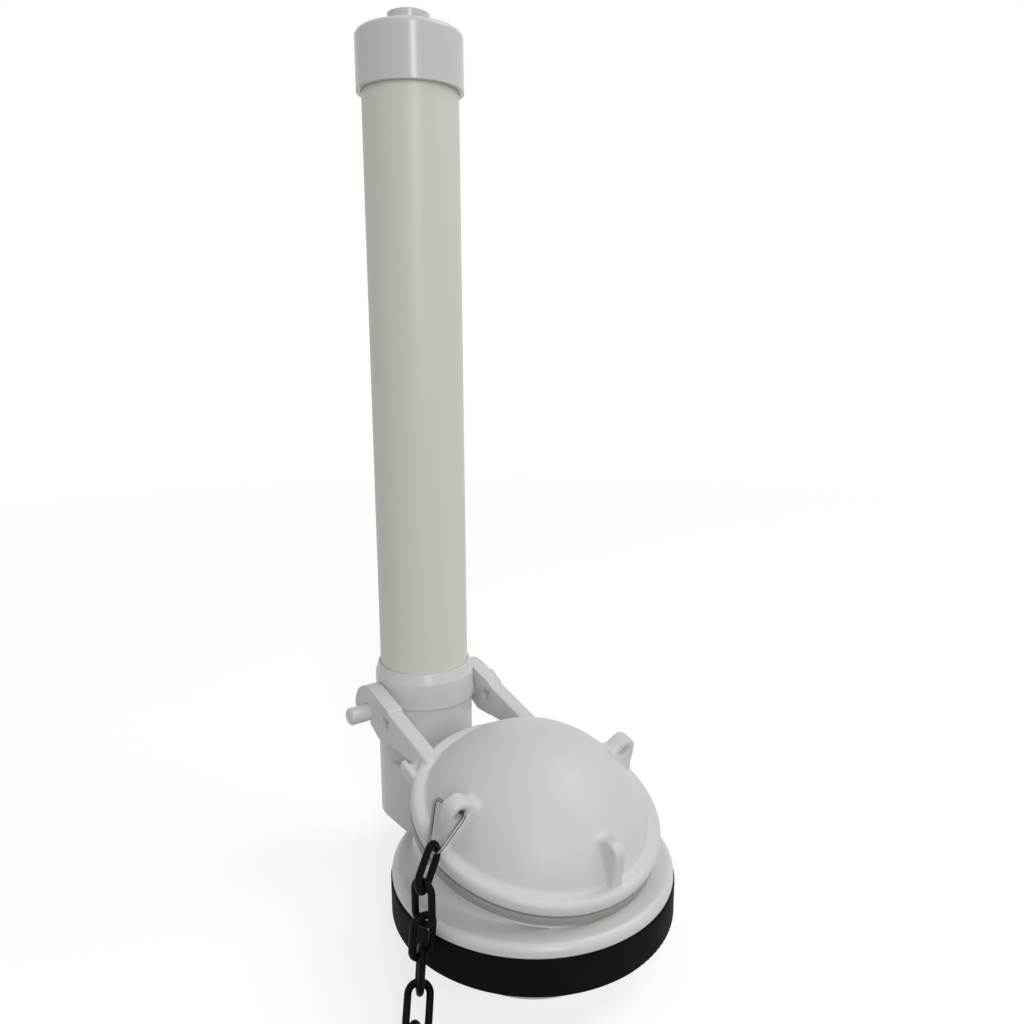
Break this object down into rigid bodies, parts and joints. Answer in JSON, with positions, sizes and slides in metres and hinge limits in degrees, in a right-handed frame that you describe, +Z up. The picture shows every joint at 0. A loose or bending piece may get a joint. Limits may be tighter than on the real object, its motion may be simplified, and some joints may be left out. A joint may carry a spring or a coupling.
{
  "type": "toilet flush valve",
  "caption": "Toilet tank flush valve: upright overflow tube with cap, inclined seat on a gasketed flange, hinged dome flapper and a lift chain on wire rings.",
  "frame": {"origin": "on the outlet axis, at the lower end of the tank shank, where the valve stands", "axes": "+Z up along the outlet and the overflow tube, +Y from the outlet to the overflow tube, +X along the hinge pins to the right seen from the front"},
  "size_m": [0.1074, 0.1921, 0.2635],
  "materials": {
    "body_plastic": "moulded white plastic with a faint lilac cast",
    "gasket_rubber": "thick black sponge rubber",
    "nut_plastic": "moulded white plastic",
    "tube_plastic": "extruded cream plastic tube",
    "cap_plastic": "moulded pale grey plastic",
    "flapper_plastic": "moulded pale grey plastic with a soft gloss",
    "seal_rubber": "grey-green silicone",
    "base_plastic": "moulded pale grey plastic",
    "chain_plastic": "black plastic wire links",
    "ring_steel": "bent stainless wire"
  },
  "bodies": {
    "valve": {"valve_body": "body_plastic", "tank_gasket": "gasket_rubber", "lock_nut": "nut_plastic", "overflow_tube": "tube_plastic", "overflow_cap": "cap_plastic"},
    "flapper": {"flapper_shell": "flapper_plastic", "flapper_seal": "seal_rubber", "float_base": "base_plastic"},
    "flapper_ring": {"flapper_ring": "ring_steel"},
    "link_1": {"chain_link_1": "chain_plastic"},
    "link_2": {"chain_link_2": "chain_plastic"},
    "link_3": {"chain_link_3": "chain_plastic"},
    "link_4": {"chain_link_4": "chain_plastic"},
    "link_5": {"chain_link_5": "chain_plastic"},
    "link_6": {"chain_link_6": "chain_plastic"},
    "link_7": {"chain_link_7": "chain_plastic"},
    "link_8": {"chain_link_8": "chain_plastic"},
    "link_9": {"chain_link_9": "chain_plastic"},
    "link_10": {"chain_link_10": "chain_plastic"},
    "link_11": {"chain_link_11": "chain_plastic"},
    "link_12": {"chain_link_12": "chain_plastic"},
    "link_13": {"chain_link_13": "chain_plastic"},
    "link_14": {"chain_link_14": "chain_plastic"},
    "link_15": {"chain_link_15": "chain_plastic"},
    "link_16": {"chain_link_16": "chain_plastic"},
    "lever_ring": {"lever_ring": "ring_steel"}
  },
  "joints": [
    {"name": "flapper_hinge", "type": "hinge", "parent": "valve", "child": "flapper", "pos_m": [0, 0.0577, 0.0555], "axis": [-1, 0, 0], "range_deg": [0, 56]},
    {"name": "ring_swing", "type": "hinge", "parent": "flapper", "child": "flapper_ring", "pos_m": [-0.0292, -0.00522, 0.05326], "axis": [0, 0.9568, 0.2907], "range_deg": [0, 45]},
    {"name": "swing_1", "type": "hinge", "parent": "flapper_ring", "child": "link_1", "pos_m": [-0.03763, -0.00652, 0.0451], "axis": [-0.2297, 0.9697, 0.0831], "range_deg": [0, 30]},
    {"name": "swing_2", "type": "hinge", "parent": "link_1", "child": "link_2", "pos_m": [-0.04448, -0.01181, 0.03997], "axis": [0.4988, 0.2313, -0.8352], "range_deg": [-12, 12]},
    {"name": "swing_3", "type": "hinge", "parent": "link_2", "child": "link_3", "pos_m": [-0.04291, -0.01075, 0.02949], "axis": [-0.2756, 0.9613, 0], "range_deg": [0, 25]},
    {"name": "swing_4", "type": "hinge", "parent": "link_3", "child": "link_4", "pos_m": [-0.04363, -0.01021, 0.02008], "axis": [-0.9967, 0.0509, 0.0636], "range_deg": [0, 25]},
    {"name": "swing_5", "type": "hinge", "parent": "link_4", "child": "link_5", "pos_m": [-0.04421, -0.00978, 0.01066], "axis": [0.4544, 0.8907, 0.0133], "range_deg": [-15, 15]},
    {"name": "swing_6", "type": "hinge", "parent": "link_5", "child": "link_6", "pos_m": [-0.04977, -0.01744, 0.00602], "axis": [-0.8105, 0.5851, 0.0282], "range_deg": [0, 12]},
    {"name": "swing_7", "type": "hinge", "parent": "link_6", "child": "link_7", "pos_m": [-0.05527, -0.02475, 0.00366], "axis": [0.4147, -0.0179, -0.9098], "range_deg": [-24, 24]},
    {"name": "swing_8", "type": "hinge", "parent": "link_7", "child": "link_8", "pos_m": [-0.05944, -0.03331, 0.00334], "axis": [-0.7782, 0.451, -0.4371], "range_deg": [-24, 24]},
    {"name": "swing_9", "type": "hinge", "parent": "link_8", "child": "link_9", "pos_m": [-0.06252, -0.04224, 0.00334], "axis": [-0.5287, 0.1821, 0.829], "range_deg": [-24, 24]},
    {"name": "swing_10", "type": "hinge", "parent": "link_9", "child": "link_10", "pos_m": [-0.06381, -0.05164, 0.00334], "axis": [0.7202, -0.127, 0.682], "range_deg": [-24, 24]},
    {"name": "swing_11", "type": "hinge", "parent": "link_10", "child": "link_11", "pos_m": [-0.06398, -0.06109, 0.00334], "axis": [0.707, -0.0123, -0.7071], "range_deg": [-24, 24]},
    {"name": "swing_12", "type": "hinge", "parent": "link_11", "child": "link_12", "pos_m": [-0.06231, -0.07042, 0.00334], "axis": [-0.7002, -0.0984, -0.7071], "range_deg": [-24, 24]},
    {"name": "swing_13", "type": "hinge", "parent": "link_12", "child": "link_13", "pos_m": [-0.05955, -0.07946, 0.00334], "axis": [-0.6762, -0.2067, 0.7071], "range_deg": [-24, 24]},
    {"name": "swing_14", "type": "hinge", "parent": "link_13", "child": "link_14", "pos_m": [-0.05508, -0.08782, 0.00334], "axis": [0.6355, 0.31, 0.7071], "range_deg": [-24, 24]},
    {"name": "swing_15", "type": "hinge", "parent": "link_14", "child": "link_15", "pos_m": [-0.04966, -0.09556, 0.00334], "axis": [0.5792, 0.4056, -0.7071], "range_deg": [-24, 24]},
    {"name": "swing_16", "type": "hinge", "parent": "link_15", "child": "link_16", "pos_m": [-0.04282, -0.10214, 0.00334], "axis": [-0.5086, -0.4912, -0.7071], "range_deg": [-24, 24]},
    {"name": "lever_ring_swing", "type": "hinge", "parent": "link_16", "child": "lever_ring", "pos_m": [-0.03527, -0.10783, 0.00334], "axis": [-0.4255, -0.5647, 0.7071], "range_deg": [-24, 24]}
  ]
}
